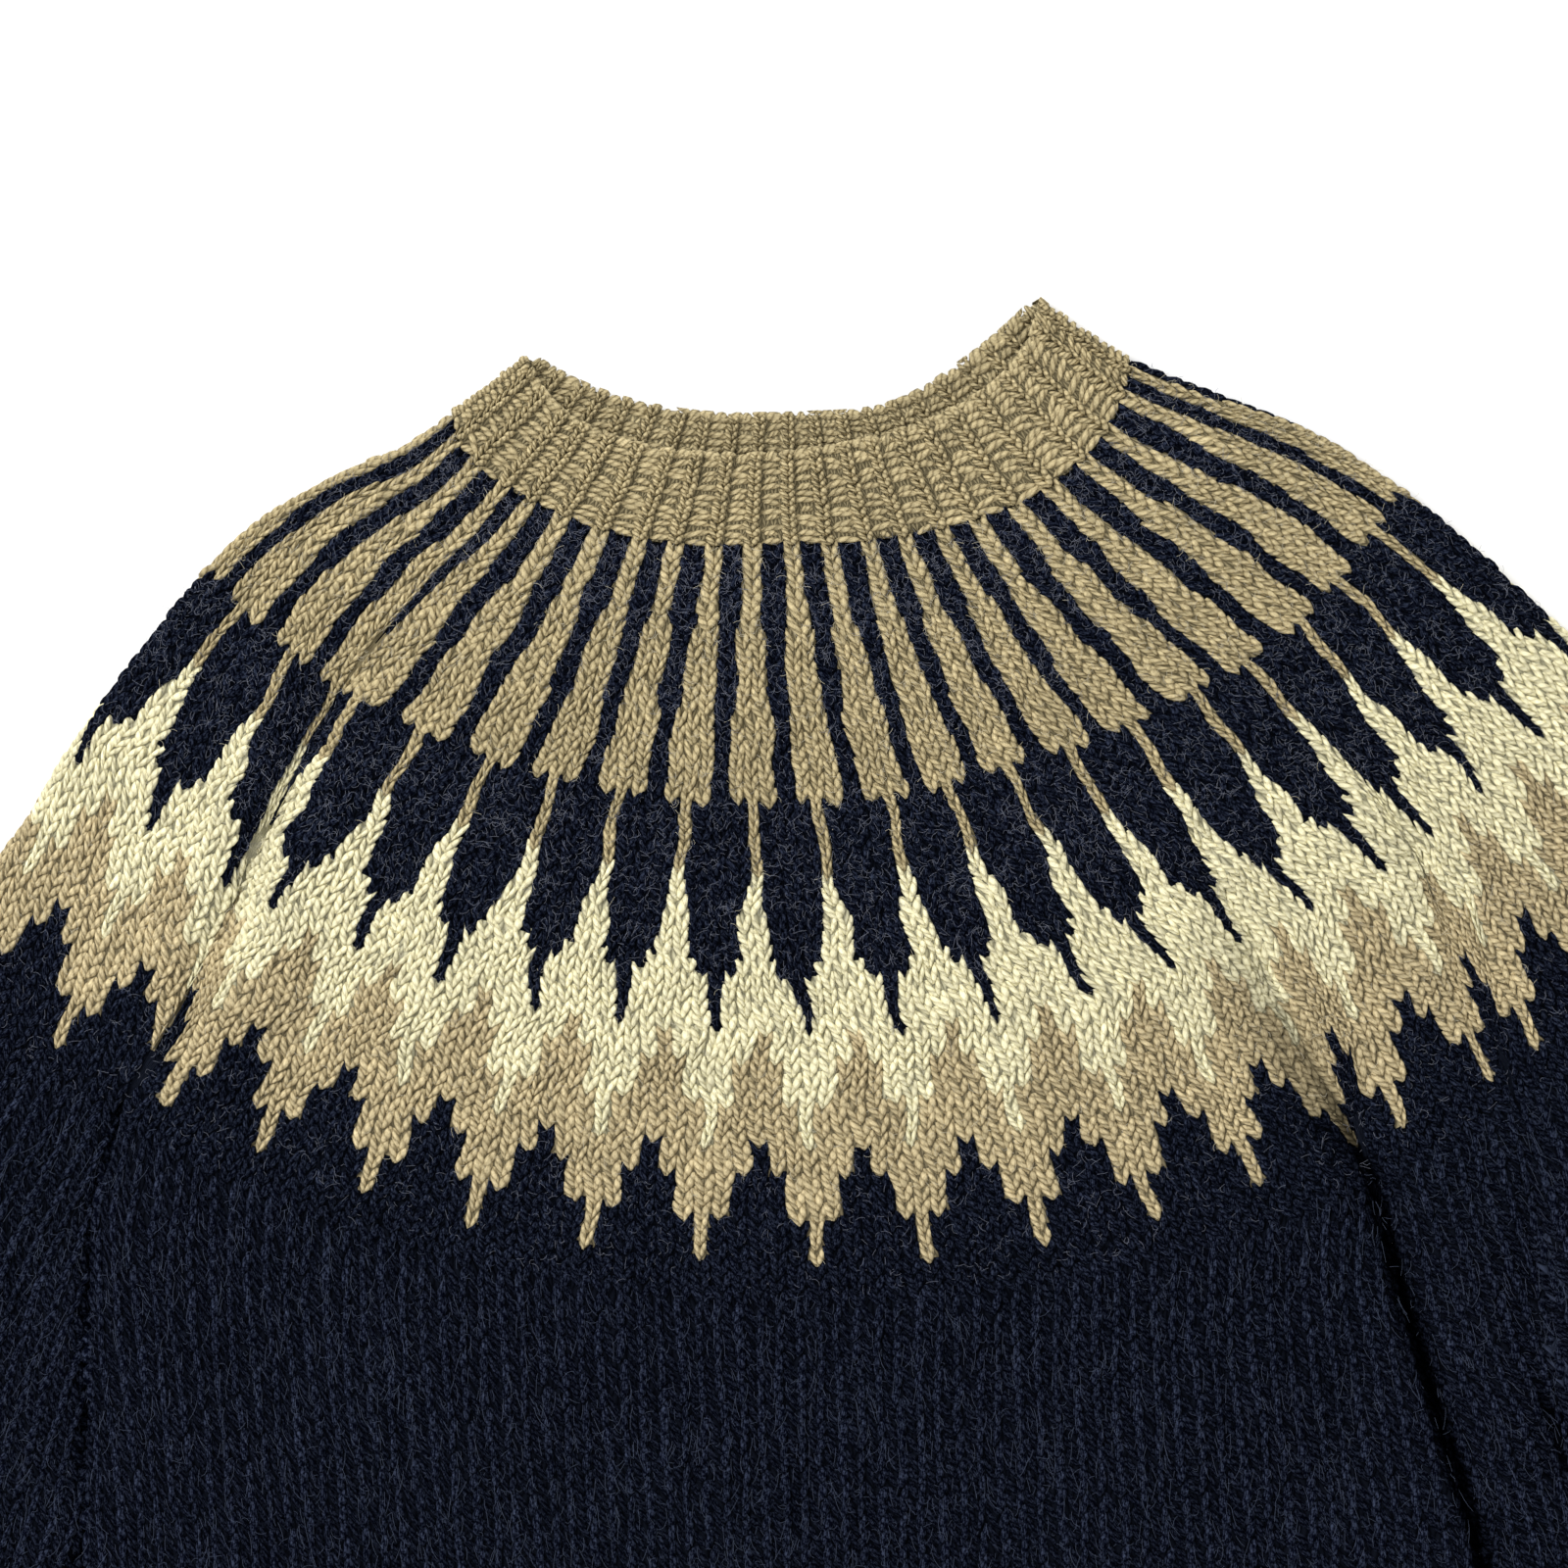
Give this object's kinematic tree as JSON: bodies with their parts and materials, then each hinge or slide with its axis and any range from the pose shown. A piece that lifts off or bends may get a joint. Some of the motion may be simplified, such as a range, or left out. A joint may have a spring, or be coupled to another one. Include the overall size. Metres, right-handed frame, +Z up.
{
  "type": "nordic sweater",
  "caption": "Round-yoke wool pullover laid flat, front up, with a ribbed crew neck, a ray and zigzag colour-work yoke, long sleeves and ribbed hem and cuffs.",
  "frame": {"origin": "middle of the garment's box, on the surface it lies on", "axes": "+X to the right of the picture, which is the wearer's left side; +Y towards the neck; +Z up out of the front"},
  "size_m": [0.9438, 0.7384, 0.0141],
  "materials": {
    "tan_wool": "two-ply wool rib, matt",
    "yoke_wool": "stranded stocking stitch in navy, tan and cream wool, matt with a light halo",
    "navy_wool": "stocking stitch and rib in heathered navy wool, matt with a light halo"
  },
  "bodies": {
    "root": {"neckband": "tan_wool", "yoke": "yoke_wool", "body": "navy_wool", "hem_rib": "navy_wool", "sleeve_left": "navy_wool", "sleeve_right": "navy_wool", "cuff_left": "navy_wool", "cuff_right": "navy_wool"}
  },
  "joints": []
}
